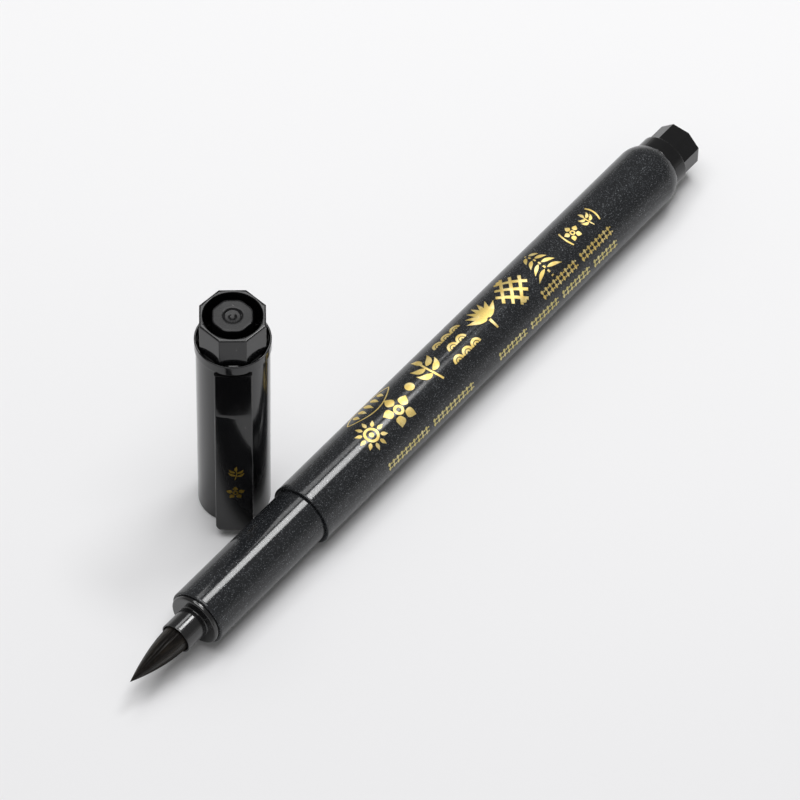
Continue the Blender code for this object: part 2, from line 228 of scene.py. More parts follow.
def makeWearGroup():
    # Rubbed edges, broken up by noise
    group, given, result = newGroup("edgeWear", {"Threshold": 0.53, "Scale": 900.0}, ("Mask",))
    shape = addNode(group, "ShaderNodeNewGeometry")
    full = mathNode(group, "ADD", given["Threshold"], 0.06)
    edge = rangeNode(group, shape.outputs["Pointiness"], given["Threshold"], full)
    patches = rangeNode(group, noiseNode(group, objectPosition(group), given["Scale"]), 0.42, 0.62)
    feed(group, result, {"Mask": product(group, edge, patches)})
    return group


def makeHandlingGroup():
    # What handling leaves on a glossy skin: hairline scratches, dust, and a slow change of sheen
    inputs = {"Scratch Scale": 700.0, "Dust Scale": 1600.0, "Dust": 0.03, "Sheen Scale": 120.0}
    group, given, result = newGroup("handling", inputs, ("Scratches", "Dust", "Sheen"))
    lines = noiseNode(group, objectPosition(group, (0.05, 1, 0.35)), given["Scratch Scale"], 1.0)
    away = mathNode(group, "ABSOLUTE", mathNode(group, "SUBTRACT", lines, 0.5))
    distance, chosen, _ = chosenCells(group, given["Dust Scale"], given["Dust"])
    speck = rangeNode(group, distance, 0.08, 0.2, 1.0, 0.0)
    feed(group, result, {
        "Scratches": rangeNode(group, away, 0.0, 0.008, 1.0, 0.0),
        "Dust": product(group, chosen, speck),
        "Sheen": noiseNode(group, objectPosition(group), given["Sheen Scale"], 2.0),
    })
    return group


def makeStrandGroup():
    # Fine lines along the pen's axis, for hair and drawn fibre
    group, given, result = newGroup("strands", {"Scale": 5000.0, "Along": 0.06}, ("Lines", "Clumps"))
    stretch = addNode(group, "ShaderNodeCombineXYZ", {"X": given["Along"], "Y": 1.0, "Z": 1.0})
    position = addNode(group, "ShaderNodeTexCoord").outputs["Object"]
    values = {0: position, 1: stretch.outputs[0]}
    scaled = addNode(group, "ShaderNodeVectorMath", values, operation="MULTIPLY").outputs[0]
    coarse = product(group, given["Scale"], 0.2)
    feed(group, result, {
        "Lines": noiseNode(group, scaled, given["Scale"], 2.0, 0.6),
        "Clumps": noiseNode(group, scaled, coarse, 1.0),
    })
    return group


fleckGroup = makeFleckGroup()
wearGroup = makeWearGroup()
handlingGroup = makeHandlingGroup()
strandGroup = makeStrandGroup()
print("effects ready")


# Materials

def newMaterial(name):
    material = bpy.data.materials.new(name)
    material.use_nodes = True
    return material, material.node_tree, material.node_tree.nodes["Principled BSDF"]


lacquerLook = {
    "charcoal": (0.0165, 0.0178, 0.0198),
    "deep": (0.0095, 0.0103, 0.0118),
    "silver": (0.185, 0.196, 0.210),
    "worn": (0.08, 0.08, 0.08),
    "wornShare": 0.35,
    "fine": {"Scale": 5200.0, "Density": 0.7, "Size": 0.5},
    "coarse": {"Scale": 3300.0, "Density": 0.16, "Size": 0.42},
    "fineShare": 0.6,  # brightness of the fine flakes beside the coarse ones
    "metalShare": 0.7,
    "handling": {"Scratch Scale": 500.0, "Dust": 0.012, "Sheen Scale": 260.0},
    "wear": {"Threshold": 0.54, "Scale": 1300.0},
    "ground": 0.5,  # roughness between the flakes
    "flake": 0.32,
    "coat": 0.8,
    "coatRoughness": 0.12,
    "relief": 0.004,  # millimetres
}


def makeLacquer(name, look):
    material, tree, shader = newMaterial(name)
    fine = placeGroup(tree, fleckGroup, look["fine"])
    coarse = placeGroup(tree, fleckGroup, look["coarse"])
    handling = placeGroup(tree, handlingGroup, look["handling"])
    wear = placeGroup(tree, wearGroup, look["wear"])["Mask"]
    tone = product(tree, fine["Tone"], look["fineShare"])
    dim = product(tree, fine["Mask"], tone)
    bright = product(tree, coarse["Mask"], coarse["Tone"])
    flecks = mathNode(tree, "MAXIMUM", dim, bright)
    ground = mixColor(tree, handling["Sheen"], look["deep"], look["charcoal"])
    speckled = mixColor(tree, flecks, ground, look["silver"])
    worn = product(tree, wear, look["wornShare"])
    grain = mathNode(tree, "ADD", flecks, product(tree, handling["Scratches"], -0.4))
    feed(tree, shader, {
        "Base Color": mixColor(tree, worn, speckled, look["worn"]),
        "Metallic": product(tree, flecks, look["metalShare"]),
        "Roughness": rangeNode(tree, flecks, 0.0, 1.0, look["ground"], look["flake"]),
        "Coat Weight": mathNode(tree, "SUBTRACT", look["coat"], product(tree, wear, 0.4)),
        "Coat Roughness": look["coatRoughness"],
        "Specular IOR Level": 0.02,  # the coat gives the gloss
        "Normal": bumpNode(tree, grain, look["relief"], 0.5),
    })
    return material


plasticLook = {
    "black": (0.0030, 0.0030, 0.0034),
    "faded": (0.0080, 0.0080, 0.0088),
    "rubbed": (0.05, 0.05, 0.05),
    "dustColor": (0.25, 0.25, 0.24),
    "gloss": 0.07,
    "dull": 0.13,
    "specular": 0.5,
    "ripple": 0.0015,  # millimetres
    "dust": 0.02,
    "wear": {"Threshold": 0.55, "Scale": 1600.0},
}
plasticLooks = {
    "glossBlack": {},
    "holderBlack": {"gloss": 0.12, "dull": 0.18, "specular": 0.85},
    "clipBlack": {"gloss": 0.04, "dull": 0.10, "ripple": 0.0010, "dust": 0.012},
    "linerBlack": {"gloss": 0.19, "dull": 0.25, "ripple": 0.003, "dust": 0.04, "specular": 0.33},
}


def makePlastic(name, look):
    # Moulded black plastic: gloss that changes slowly, flow ripples, hairlines and rubbed edges
    material, tree, shader = newMaterial(name)
    marks = {"Scratch Scale": 420.0, "Dust": look["dust"], "Sheen Scale": 170.0}
    handling = placeGroup(tree, handlingGroup, marks)
    wear = placeGroup(tree, wearGroup, look["wear"])["Mask"]
    body = mixColor(tree, handling["Sheen"], look["black"], look["faded"])
    body = mixColor(tree, product(tree, wear, 0.5), body, look["rubbed"])
    sheen = rangeNode(tree, handling["Sheen"], 0.3, 0.7, look["gloss"], look["dull"])
    marked = mathNode(tree, "ADD", sheen, product(tree, handling["Scratches"], 0.05))
    flow = noiseNode(tree, objectPosition(tree, (1, 1, 0.3)), 260.0, 1.0)
    height = mathNode(tree, "SUBTRACT", flow, product(tree, handling["Scratches"], 0.08))
    dust = product(tree, handling["Dust"], 0.5)
    feed(tree, shader, {
        "Base Color": mixColor(tree, dust, body, look["dustColor"]),
        "Roughness": mathNode(tree, "ADD", marked, product(tree, wear, 0.2)),
        "Specular IOR Level": look["specular"],
        "Normal": bumpNode(tree, height, look["ripple"], 1.0),
    })
    return material


foilLooks = {
    "stampedFoil": {
        "bright": (0.80, 0.60, 0.19),
        "pale": (0.92, 0.76, 0.36),
        "thin": (0.22, 0.16, 0.05),
        "roughness": 0.46,
    },
    "dullFoil": {
        "bright": (0.20, 0.13, 0.012),
        "pale": (0.30, 0.20, 0.03),
        "thin": (0.04, 0.03, 0.01),
        "roughness": 0.5,
    },
    "greyFoil": {
        "bright": (0.58, 0.50, 0.20),
        "pale": (0.70, 0.62, 0.32),
        "thin": (0.12, 0.10, 0.05),
        "roughness": 0.5,
    },
}


def makeFoil(name, look):
    # Stamped foil: grainy, a little paler in places, thin where it didn't take
    material, tree, shader = newMaterial(name)
    position = objectPosition(tree)
    patches = rangeNode(tree, noiseNode(tree, position, 700.0, 2.0), 0.4, 0.7)
    grain = noiseNode(tree, position, 9000.0, 2.0)
    wear = placeGroup(tree, wearGroup, {"Threshold": 0.56, "Scale": 2600.0})["Mask"]
    rubbed = product(tree, wear, 0.5)
    pits = mathNode(tree, "MAXIMUM", rangeNode(tree, grain, 0.66, 0.72), rubbed)
    metal = mixColor(tree, patches, look["bright"], look["pale"])
    smooth, rough = look["roughness"] - 0.08, look["roughness"] + 0.1
    feed(tree, shader, {
        "Base Color": mixColor(tree, pits, metal, look["thin"]),
        "Metallic": 0.85,
        "Roughness": rangeNode(tree, grain, 0.3, 0.7, smooth, rough),
        "Normal": bumpNode(tree, grain, 0.003, 0.6),
    })
    return material


hairLook = {
    "wet": (0.007, 0.0055, 0.0045),
    "dry": (0.030, 0.022, 0.013),
    "smooth": 0.36,
    "rough": 0.61,
    "strands": {"Scale": 5200.0, "Along": 0.05},
    "relief": 0.008,  # millimetres
}


def makeHair(name, look):
    material, tree, shader = newMaterial(name)
    strands = placeGroup(tree, strandGroup, look["strands"])
    tint = rangeNode(tree, strands["Clumps"], 0.35, 0.7)
    streak = product(tree, tint, rangeNode(tree, strands["Lines"], 0.4, 0.65))
    feed(tree, shader, {
        "Base Color": mixColor(tree, streak, look["wet"], look["dry"]),
        "Roughness": rangeNode(tree, strands["Lines"], 0.3, 0.7, look["smooth"], look["rough"]),
        "Normal": bumpNode(tree, strands["Lines"], look["relief"], 0.5),
    })
    return material


innerLooks = {
    "collarPlastic": {
        "low": (0.70, 0.70, 0.67),
        "high": (0.80, 0.80, 0.77),
        "roughness": 0.38,
        "scale": 900.0,
        "relief": 0.004,
    },
    "inkedFibre": {
        "low": (0.012, 0.012, 0.015),
        "high": (0.055, 0.055, 0.062),
        "roughness": 0.85,
        "scale": 4200.0,
        "relief": 0.03,
    },
    "wrapFilm": {
        "low": (0.66, 0.68, 0.71),
        "high": (0.80, 0.82, 0.84),
        "roughness": 0.22,
        "scale": 300.0,
        "relief": 0.003,
    },
}


def makeInner(name, look):
    # Drawn plastic, fibre or film, streaked along the pen
    material, tree, shader = newMaterial(name)
    strands = placeGroup(tree, strandGroup, {"Scale": look["scale"], "Along": 0.08})
    smooth, rough = look["roughness"], look["roughness"] + 0.12
    feed(tree, shader, {
        "Base Color": mixColor(tree, strands["Lines"], look["low"], look["high"]),
        "Roughness": rangeNode(tree, strands["Clumps"], 0.3, 0.7, smooth, rough),
        "Normal": bumpNode(tree, strands["Lines"], look["relief"], 0.6),
    })
    return material


barrelLacquer = makeLacquer("barrelLacquer", lacquerLook)
sparserFlakes = {
    "fine": {**lacquerLook["fine"], "Density": 0.55},
    "coarse": {**lacquerLook["coarse"], "Density": 0.13},
}
gripLacquer = makeLacquer("gripLacquer", {**lacquerLook, **sparserFlakes})
glossBlack, holderBlack, clipBlack, linerBlack = [
    makePlastic(name, {**plasticLook, **change}) for name, change in plasticLooks.items()
]
stampedFoil, dullFoil, greyFoil = [makeFoil(name, look) for name, look in foilLooks.items()]
brushHair = makeHair("inkedHair", hairLook)
packedHair = makeHair("packedHair", {**hairLook, "smooth": 0.48, "rough": 0.73})
collarPlastic, inkedFibre, wrapFilm = [makeInner(name, look) for name, look in innerLooks.items()]
print("materials ready")


# Mesh helpers

def loftMesh(name, rings, closed=False, capEnds=False):
    # Skins a row of rings with equal counts. A ring of one point is a pole.
    verts, faces, starts = [], [], []
    for ring in rings:
        starts.append(len(verts))
        verts.extend(ring)
    pairs = [(i, i + 1) for i in range(len(rings) - 1)]
    if closed:
        pairs.append((len(rings) - 1, 0))
    for a, b in pairs:
        count = max(len(rings[a]), len(rings[b]))
        for i in range(count):
            corners = [(a, i), (a, i + 1), (b, i + 1), (b, i)]
            numbers = [starts[ring] + corner % count % len(rings[ring]) for ring, corner in corners]
            faces.append(list(dict.fromkeys(numbers)))
    if capEnds:
        faces.append(list(range(starts[0], starts[0] + len(rings[0]))))
        faces.append(list(range(starts[-1], starts[-1] + len(rings[-1]))))
    return meshFrom(name, verts, faces)


def tubeFaces(start, rows, ring):
    # The faces of a closed tube whose vertices run on from start, row after row
    faces = []
    for i in range(rows - 1):
        for j in range(ring):
            a, b = start + i * ring + j, start + i * ring + (j + 1) % ring
            faces.append((a, b, b + ring, a + ring))
    last = start + (rows - 1) * ring
    return faces + [tuple(range(start, start + ring)), tuple(range(last, last + ring))]


def meshFrom(name, verts, faces):
    mesh = bpy.data.meshes.new(name)
    mesh.from_pydata([tuple(v) for v in verts], [], faces)
    return mesh


def addPiece(name, mesh, matrix, material, sharpAngle=38):
    model = bmesh.new()
    model.from_mesh(mesh)
    bmesh.ops.transform(model, matrix=matrix, verts=model.verts)
    bmesh.ops.recalc_face_normals(model, faces=model.faces)
    model.to_mesh(mesh)
    model.free()
    mesh.materials.append(material)
    mesh.shade_smooth()
    mesh.set_sharp_from_angle(angle=math.radians(sharpAngle))
    piece = bpy.data.objects.new(name, mesh)
    bpy.context.scene.collection.objects.link(piece)
    return piece


def easedOutline(corners, closed, arcSteps, support=0.25 * mm):
    # Rounds each corner (radius, height, rounding, shape) and adds a support point either side of it
    points = []
    count = len(corners)
    for i, (radius, height, rounding, shape) in enumerate(corners):
        here = Vector((radius, height))
        isEnd = not closed and i in (0, count - 1)
        if isEnd or not rounding:
            points.append((radius, height, shape))
            continue
        toBack = Vector(corners[i - 1][:2]) - here
        toNext = Vector(corners[(i + 1) % count][:2]) - here
        angle = toBack.angle(toNext)
        reach = min(rounding / math.tan(angle / 2), toBack.length * 0.45, toNext.length * 0.45)
        real = reach * math.tan(angle / 2)
        backDir, nextDir = toBack.normalized(), toNext.normalized()
        centre = here + (backDir + nextDir).normalized() * (real / math.sin(angle / 2))
        start, stop = here + backDir * reach - centre, here + nextDir * reach - centre
        if toBack.length > reach + support * 3:
            points.append((*(here + backDir * (reach + support)), shape))
        for step in range(arcSteps + 1):
            turn = start.normalized().slerp(stop.normalized(), step / arcSteps)
            points.append((*(centre + turn * real), shape))
        if toNext.length > reach + support * 3:
            points.append((*(here + nextDir * (reach + support)), shape))
    return points


def octagonUnit(corner, arcSteps=4, flatSteps=9):
    # An eight-sided outline with flats one unit from the centre and rounded corners
    inner = (1 - corner) / math.cos(math.pi / 8)
    outline = []
    for side in range(8):
        centre = heading(side * 45 + 22.5) * inner
        for step in range(arcSteps + 1):
            outline.append(centre + heading(side * 45 + 45 * step / arcSteps) * corner)
        following = Matrix.Rotation(math.radians(45), 2) @ outline[-arcSteps - 1]
        last = outline[-1].copy()
        for step in range(1, flatSteps + 1):
            share = step / (flatSteps + 1)
            share = 0.5 - 0.5 * math.cos(math.pi * share)  # closer together beside the corners
            outline.append(last.lerp(following, share))
    return outline


octagonOutlines = {"octagon": octagonUnit(0.035), "softOctagon": octagonUnit(0.45)}
roundCircle = [heading(360 * i / 160) for i in range(160)]
matchingCircle = [point.normalized() for point in octagonOutlines["octagon"]]  # joins up with an octagon


def turnedRings(outline, circle):
    rings = []
    for radius, height, shape in outline:
        if radius < 1e-7:
            rings.append([Vector((0, 0, height))])
        else:
            points = octagonOutlines.get(shape, circle)
            rings.append([Vector((point.x * radius, point.y * radius, height)) for point in points])
    return rings


def turnedPiece(name, shape, rows, matrix, material, body, node=None,
                closed=True, octagonal=False, arcSteps=4):
    # A row is radius, height, rounding and outline in millimetres; a name stands for the shape's value
    corners = []
    for row in rows:
        *lengths, outline = row + (0, "round")[len(row) - 2:]
        corners.append((*(shape.get(length, length) * mm for length in lengths), outline))
    circle = matchingCircle if octagonal else roundCircle
    rings = turnedRings(easedOutline(corners, closed, arcSteps), circle)
    piece = addPiece(name, loftMesh(name, rings, closed), matrix, material)
    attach(piece, body)
    if node:
        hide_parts(node)


# Barrel. Lengths in millimetres, heights measured from the shoulder towards the tail.

barrelShape = {
    "length": (barrelHigh.x - shoulderX) / mm,
    "radius": barrelRadius / mm,
    "bore": 5.13,
    "taperLength": 3.0,
    "taperDrop": 0.92,
    "taperSteps": 14,
    "tailHole": 3.9,
    "neckStart": 92.8,
    "neckSlope": 1.4,
    "rounding": 0.14,
}


def makeBarrel(shape):
    taperStart = shape["length"] - shape["taperLength"]
    rows = []
    for i in range(shape["taperSteps"], -1, -1):
        share = i / shape["taperSteps"]
        radius = shape["radius"] - shape["taperDrop"] * share**2
        rows.append((radius, taperStart + shape["taperLength"] * share))
    rows[0] += (0.08,)
    rows += [
        ("radius", taperStart - 1.0),
        ("radius", 1.0),
        ("radius", 0.0, "rounding"),
        ("bore", 0.0, 0.05),
        ("bore", shape["neckStart"] - shape["neckSlope"]),
        ("tailHole", "neckStart"),
        ("tailHole", "length", 0.1),
    ]
    turnedPiece("barrelTube", shape, rows, penFrame, barrelLacquer, "pen", "barrel")


makeBarrel(barrelShape)
print("barrel made")


# Grip section and nib holder

gripShape = {
    "front": (gripFront - shoulderX) / mm,
    "radius": 5.25,
    "bore": 4.6,
    "spigotRadius": 5.08,
    "spigotEnd": 9.0,
    "seat": -0.05,
    "frontRounding": 0.22,
}


def makeGrip(shape):
    rows = [
        ("spigotRadius", "spigotEnd", 0.18),
        ("spigotRadius", "seat"),
        ("radius", "seat", 0.04),
        ("radius", "front", "frontRounding"),
        ("bore", "front", 0.06),
        ("bore", "spigotEnd", 0.06),
    ]
    turnedPiece("gripSleeve", shape, rows, penFrame, gripLacquer, "pen", "grip_section")


holderShape = {
    "flangeBack": (gripFront - shoulderX) / mm - 0.05,
    "flangeThickness": 0.76,
    "flangeRadius": 4.8,
    "flangeRounding": 0.42,
    "noseRadius": 2.87,
    "noseBore": 2.47,
    "noseFront": (noseFront - shoulderX) / mm,
    "noseRounding": 0.11,
    "rootFillet": 0.16,
    "flare": 0.20,
    "flareDepth": 0.30,
    "spigotRadius": 4.55,
    "spigotBack": -18.15,
    "heelStop": -20.15,
    "wickHole": 1.05,
}


def makeHolder(shape):
    flangeFront = shape["flangeBack"] - shape["flangeThickness"]
    rows = [
        ("spigotRadius", "spigotBack", 0.18),
        ("spigotRadius", "flangeBack"),
        ("flangeRadius", "flangeBack", 0.05),
        ("flangeRadius", flangeFront, "flangeRounding"),
        ("noseRadius", flangeFront, "rootFillet"),
        ("noseRadius", "noseFront", "noseRounding"),
        (shape["noseBore"] + shape["flare"], "noseFront", 0.05),
        ("noseBore", shape["noseFront"] + shape["flareDepth"], 0.2),
        ("noseBore", "heelStop"),
        ("wickHole", "heelStop"),
        ("wickHole", "spigotBack"),
    ]
    turnedPiece("nibHolder", shape, rows, penFrame, holderBlack, "pen", "nib_holder",
                arcSteps=6)


makeGrip(gripShape)
makeHolder(holderShape)
print("grip and nib holder made")


# Tail plug

plugShape = {
    "face": 99.65,
    "collarEnd": 102.37,
    "collarRadius": 4.85,
    "gripFlat": 4.084,
    "end": (penEnd - shoulderX) / mm,
    "spigotRadius": 3.85,
    "spigotEnd": 93.65,
    "core": 2.6,
    "endWall": 1.6,
    "rounding": 0.16,
}


def makeTailPlug(shape):
    core = shape["end"] - shape["endWall"]
    rows = [
        (0.0, "end"),
        ("gripFlat", "end", "rounding", "octagon"),
        ("gripFlat", "collarEnd", 0.06, "octagon"),
        ("collarRadius", "collarEnd", "rounding"),
        ("collarRadius", "face", 0.08),
        ("spigotRadius", "face", 0.05),
        ("spigotRadius", "spigotEnd", 0.14),
        ("core", "spigotEnd", 0.08),
        ("core", core),
        (0.0, core),
    ]
    turnedPiece("tailPlug", shape, rows, penFrame, glossBlack, "plug", "tail_plug",
                closed=False, octagonal=True)


makeTailPlug(plugShape)
print("tail plug made")


# Cap. Heights in millimetres above the table it stands on.

capShape = {
    "radius": 6.2,
    "bore": 5.35,
    "shellTop": capHigh.z / mm,
    "beadRadius": 6.44,
    "beadHeight": 2.25,
    "beadRounding": 0.22,
    "groove": 0.62,  # depth of the dark line round the crown
    "grooveRadius": 6.16,
    "beadStep": 0.24,
    "seat": 5.75,
    "linerStep": 35.98,
    "mouthRounding": 0.24,
}


def makeCapShell(shape):
    beadBottom = shape["shellTop"] - shape["beadHeight"]
    rows = [
        ("seat", shape["shellTop"] - shape["groove"]),
        ("grooveRadius", "shellTop", 0.08),
        ("beadRadius", "shellTop", "beadRounding"),
        ("beadRadius", beadBottom + shape["beadStep"], 0.3),
        ("radius", beadBottom, 0.12),
        ("radius", 0.0, "mouthRounding"),
        ("bore", 0.0, "mouthRounding"),
        ("bore", "linerStep"),
        ("seat", "linerStep"),
    ]
    turnedPiece("capTube", shape, rows, capFrame, glossBlack, "cap", "cap_shell", arcSteps=6)


crownShape = {
    "flat": 5.506,
    "top": capTop / mm,
    "base": 41.98,
    "hole": 4.986,
    "spigotRadius": 5.70,
    "spigotEnd": 37.28,
    "rounding": 0.3,
}


def makeCrown(shape):
    rows = [
        ("hole", "top", 0.12),
        ("flat", "top", "rounding", "octagon"),
        ("flat", shape["base"] - 0.5, 0, "octagon"),  # keeps the tall flats flat above the edge
        ("flat", shape["base"] - 0.6, 0, "octagon"),
        ("spigotRadius", shape["base"] - 0.68),
        ("spigotRadius", "spigotEnd", 0.1),
        ("hole", "spigotEnd", 0.05),
    ]
    turnedPiece("capCrown", shape, rows, capFrame, glossBlack, "cap", "cap_crown",
                octagonal=True)


linerShape = {
    "flat": 3.39,
    "top": capTop / mm,
    "dishRadius": 1.7,
    "dishDepth": 0.34,
    "dishSlope": 0.36,
    "gateRadius": 0.72,
    "gateDepth": 0.2,
    "skirtRadius": 3.7,
    "skirtTop": 35.44,
    "mouth": 28.61,
    "mouthBore": 3.0,
    "boreStep": 33.34,
    "bore": 2.69,
    "roof": 46.12,
    "rimBottom": 36.03,
    "rimHeight": 1.2,
    "rimOuter": 5.70,
    "rimInner": 5.05,
    "spokeWidth": 1.2,
}


def makeLiner(shape):
    dishFloor = shape["top"] - shape["dishDepth"]
    gateFloor = dishFloor - shape["gateDepth"]
    rows = [
        (0.0, gateFloor),
        (shape["gateRadius"] * 0.5, gateFloor, 0.4),
        ("gateRadius", dishFloor, 0.3),
        (shape["dishRadius"] - shape["dishSlope"], dishFloor, 0.3),
        ("dishRadius", "top", 0.25),
        ("flat", "top", 0.2, "softOctagon"),
        ("flat", "skirtTop", 0.06, "softOctagon"),
        ("skirtRadius", "skirtTop", 0.08),
        ("skirtRadius", "mouth", 0.15),
        ("mouthBore", "mouth", 0.15),
        ("mouthBore", "boreStep"),
        ("bore", shape["boreStep"] + 0.7),
        ("bore", "roof", 0.2),
        (0.0, "roof"),
    ]
    turnedPiece("capLiner", shape, rows, capFrame, linerBlack, "cap", "inner_cap",
                closed=False, octagonal=True)
    rimTop = shape["rimBottom"] + shape["rimHeight"]
    rim = [
        ("rimOuter", rimTop, 0.08),
        ("rimOuter", "rimBottom", 0.08),
        ("rimInner", "rimBottom", 0.08),
        ("rimInner", rimTop, 0.08),
    ]
    turnedPiece("linerRim", shape, rim, capFrame, linerBlack, "cap")
    length = shape["rimInner"] - shape["flat"] + 0.1
    middle = (shape["flat"] + shape["rimInner"]) / 2
    centre = Vector((middle, 0, shape["rimBottom"] + shape["rimHeight"] / 2))
    size = Matrix.Diagonal((length, shape["spokeWidth"], shape["rimHeight"] - 0.1, 1))
    spokes = bmesh.new()
    for turn in range(4):
        matrix = Matrix.Rotation(turn * math.pi / 2, 4, "Z") @ Matrix.Translation(centre) @ size
        bmesh.ops.create_cube(spokes, size=1, matrix=matrix)
    bmesh.ops.scale(spokes, vec=(mm, mm, mm), verts=spokes.verts)
    bmesh.ops.bevel(spokes, geom=spokes.edges, offset=0.1 * mm, segments=2, affect="EDGES", profile=0.5)
    mesh = bpy.data.meshes.new("linerSpokes")
    spokes.to_mesh(mesh)
    spokes.free()
    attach(addPiece("linerSpokes", mesh, capFrame, linerBlack), "cap")


makeCapShell(capShape)
makeCrown(crownShape)
makeLiner(linerShape)
print("cap made")


# Pocket clip, as a stack of level sections

clipShape = {
    "top": 39.58,
    "bottom": 1.9,
    "rootReach": 6.44,
    "creaseReach": 8.3,
    "creaseHeight": 31.18,
    "creaseEase": 0.35,  # the crease is pressed round a small radius
    "endReach": 9.5,
    "width": 6.3,
    "thickness": 1.2,
    "crown": 0.30,  # how far the face falls away at its edges
    "edge": 0.22,
    "corner": 1.1,
    "rootBottom": 34.38,
    "backGap": 6.25,  # radius that the root's back follows round the cap
    "footReach": 6.65,
    "footTop": 5.1,
    "footFlat": (3.82, 3.02),
}


def between(table, height):
    # Straight-line reading of (height, value) pairs that run from the top down
    for (topHeight, topValue), (lowHeight, lowValue) in zip(table, table[1:]):
        if height >= lowHeight:
            share = (topHeight - height) / (topHeight - lowHeight)
            return topValue + (lowValue - topValue) * min(max(share, 0), 1)
    return table[-1][1]


def clipFace(shape, height):
    outer = [
        (shape["top"], shape["rootReach"]),
        (shape["creaseHeight"], shape["creaseReach"]),
        (shape["bottom"], shape["endReach"]),
    ]
    ease = shape["creaseEase"]
    return (between(outer, height - ease) + between(outer, height) * 2 + between(outer, height + ease)) / 4


def clipBack(shape, height):
    inner = [
        (shape["top"], 0.0),
        (shape["rootBottom"] + 0.001, 0.0),
        (shape["rootBottom"], shape["footReach"]),
        (shape["creaseHeight"] - shape["thickness"] / 2, shape["creaseReach"] - shape["thickness"]),
        (shape["footTop"], shape["endReach"] - shape["thickness"]),
        (shape["footFlat"][0], shape["footReach"]),
        (shape["footFlat"][1], shape["footReach"]),
        (shape["bottom"], shape["endReach"] - shape["thickness"]),
    ]
    return between(inner, height)


def clipSection(shape, height, inset):
    # One level outline: from the middle of the face round the right edge to the back, then mirrored
    half = shape["width"] / 2
    drop = height - shape["bottom"]
    if drop < shape["corner"]:
        half += math.sqrt(shape["corner"] ** 2 - (shape["corner"] - drop) ** 2) - shape["corner"]
    face = clipFace(shape, height) - inset
    back = clipBack(shape, height) + inset
    edge = shape["edge"]
    backEdge = edge * 0.5
    across = 6

    def faceAt(side):
        return face - shape["crown"] * (side / (shape["width"] / 2)) ** 2

    def backAt(side):
        return max(back, math.sqrt(shape["backGap"] ** 2 - side**2))

    front = [(half - edge) * i / across for i in range(across + 1)]
    outline = [(faceAt(side), side) for side in front]
    for step in range(1, 5):
        turn = math.radians(90 * step / 4)
        reach = faceAt(half - edge) - edge * (1 - math.cos(turn))
        outline.append((reach, half - edge * (1 - math.sin(turn))))
    for step in range(4):
        turn = math.radians(90 * step / 3)
        reach = backAt(half) + backEdge * (1 - math.sin(turn))
        outline.append((reach, half - backEdge * (1 - math.cos(turn))))
    behind = [(half - backEdge) * (1 - i / across) for i in range(1, across + 1)]
    outline += [(backAt(side), side) for side in behind]
    outline += [(out, -side) for out, side in reversed(outline[1:-1])]
    return [Vector((out * mm, side * mm, height * mm)) for out, side in outline]


def makeClip(shape):
    heights = []
    edge = shape["edge"]
    for step in range(5):
        turn = math.radians(90 * step / 4)
        heights.append((shape["bottom"] + edge * (1 - math.cos(turn)), edge * (1 - math.sin(turn))))
    for step in range(1, 7):
        heights.append((shape["bottom"] + edge + (shape["corner"] - edge) * step / 6, 0))
    # Rings stand closest where the back steps or the face bends
    marks = [flat + step for flat in shape["footFlat"] for step in (0, 0.1)]
    marks += [shape["footTop"], shape["footTop"] + 0.3, shape["top"] - 0.05, shape["top"]]
    marks += [shape["rootBottom"] + step for step in (-0.02, 0.01, 0.3)]
    marks += [shape["footTop"] + 0.3 + 2.1 * i for i in range(1, 12)]
    marks += [shape["creaseHeight"] + 0.12 * i for i in range(-4, 5)]
    marks += [shape["rootBottom"] + 1.0 * i for i in range(1, 5)]
    heights += [(height, 0) for height in sorted(marks)]
    rings = [clipSection(shape, height, inset) for height, inset in heights]
    mesh = loftMesh("pocketClip", rings, capEnds=True)
    piece = addPiece("pocketClip", mesh, capFrame, clipBlack, 50)
    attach(piece, "clip")
    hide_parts("pocket_clip")


makeClip(clipShape)
print("clip made")


# Brush: a packed core with loose hairs laid over it

brushShape = {
    "radius": 2.38,
    "length": (noseFront - brushTip) / mm,
    "taper": 1.75,
    "rootDepth": 2.4,  # how far the modelled bundle runs back inside the nose
    "coreShare": 0.95,
    "sweep": 0.16,  # sideways drift at the point
    "hairs": 900,
    "hairRadius": 0.032,
    "flexStart": -0.2,
    "flexEnd": 3.2,
    "seed": 41,
}


def brushRadiusAt(shape, along):
    share = min(max(along / shape["length"], 0), 1)
    return shape["radius"] * (1 - share ** shape["taper"])


def brushPoint(shape, along, radius, angle):
    # along is measured forwards from the mouth of the nose
    share = max(along, 0) / shape["length"]
    drift = shape["sweep"] * share**2
    height = radius * math.cos(angle) + drift * 0.5
    side = radius * math.sin(angle) - drift
    return Vector((height * mm, side * mm, noseFront - shoulderX - along * mm))


def makeBrushCore(shape):
    count = 72
    rings = [[brushPoint(shape, -shape["rootDepth"], 0, 0)]]
    stations = [-shape["rootDepth"] + shape["rootDepth"] * i / 4 for i in range(4)]
    stations += [shape["length"] * (1 - (1 - i / 34) ** 1.3) for i in range(34)]
    clumps = random.Random(shape["seed"])
    phases = []
    for _ in range(6):
        phases.append((clumps.randint(7, 23), clumps.uniform(0, 6.28), clumps.uniform(0.004, 0.012)))
    for along in stations:
        ring = []
        for i in range(count):
            angle = 2 * math.pi * i / count
            groove = sum(depth * math.sin(waves * angle + phase) for waves, phase, depth in phases)
            radius = brushRadiusAt(shape, along) * (shape["coreShare"] + groove)
            ring.append(brushPoint(shape, along, radius, angle))
        rings.append(ring)
    rings.append([brushPoint(shape, shape["length"] - 0.02, 0, 0)])
    return loftMesh("brushCore", rings)


